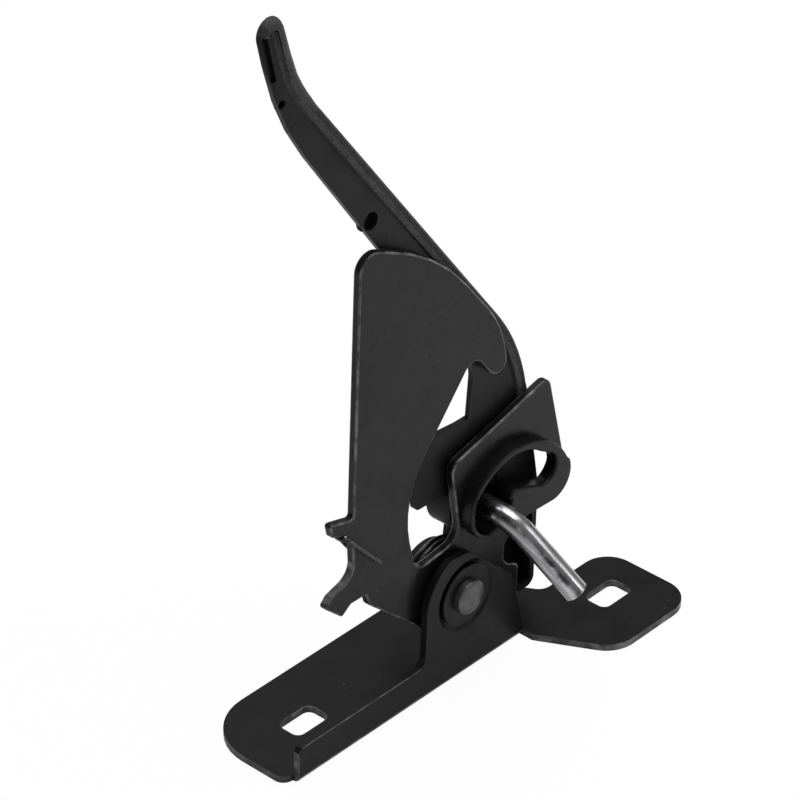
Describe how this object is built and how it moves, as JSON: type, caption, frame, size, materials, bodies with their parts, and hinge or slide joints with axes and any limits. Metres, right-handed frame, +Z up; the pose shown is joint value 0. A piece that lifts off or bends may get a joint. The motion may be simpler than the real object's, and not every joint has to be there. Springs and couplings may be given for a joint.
{
  "type": "hood safety catch",
  "caption": "Safety catch for a front hood: folded black base, sprung catch plate with a hooked sail, long moulded release lever and a bent bright guide rod.",
  "frame": {"origin": "on the underside of the base, straight below the pivot axis, 22.5 mm behind the outer face of the base's folded flange", "axes": "+X along the base towards the lobe, +Y from the flange towards the back, +Z up and square to the base's underside; the pivot axis lies along Y"},
  "size_m": [0.1612, 0.0712, 0.2629],
  "materials": {
    "coated_steel": "satin",
    "catch_steel": "satin",
    "lever_plastic": "matte",
    "collar_plastic": "satin",
    "bright_zinc": "polished",
    "dark_steel": "satin",
    "spring_wire": "satin"
  },
  "bodies": {
    "base": {"base_plate": "coated_steel", "pivot_rivet": "dark_steel", "head_washer": "dark_steel", "pivot_washer": "dark_steel", "torsion_spring": "spring_wire"},
    "catch": {"catch_plate": "catch_steel", "release_lever": "lever_plastic", "guide_collar": "collar_plastic", "pivot_bush": "dark_steel", "guide_rod": "bright_zinc", "rod_clip": "dark_steel"}
  },
  "joints": [
    {"name": "catch_pivot", "type": "hinge", "parent": "base", "child": "catch", "pos_m": [0, 0, 0.0313], "axis": [0, -1, 0], "range_deg": [0, 42], "stiffness_Nm_per_rad": 0.5, "springref_deg": -68.75, "deforming": ["torsion_spring"]}
  ]
}
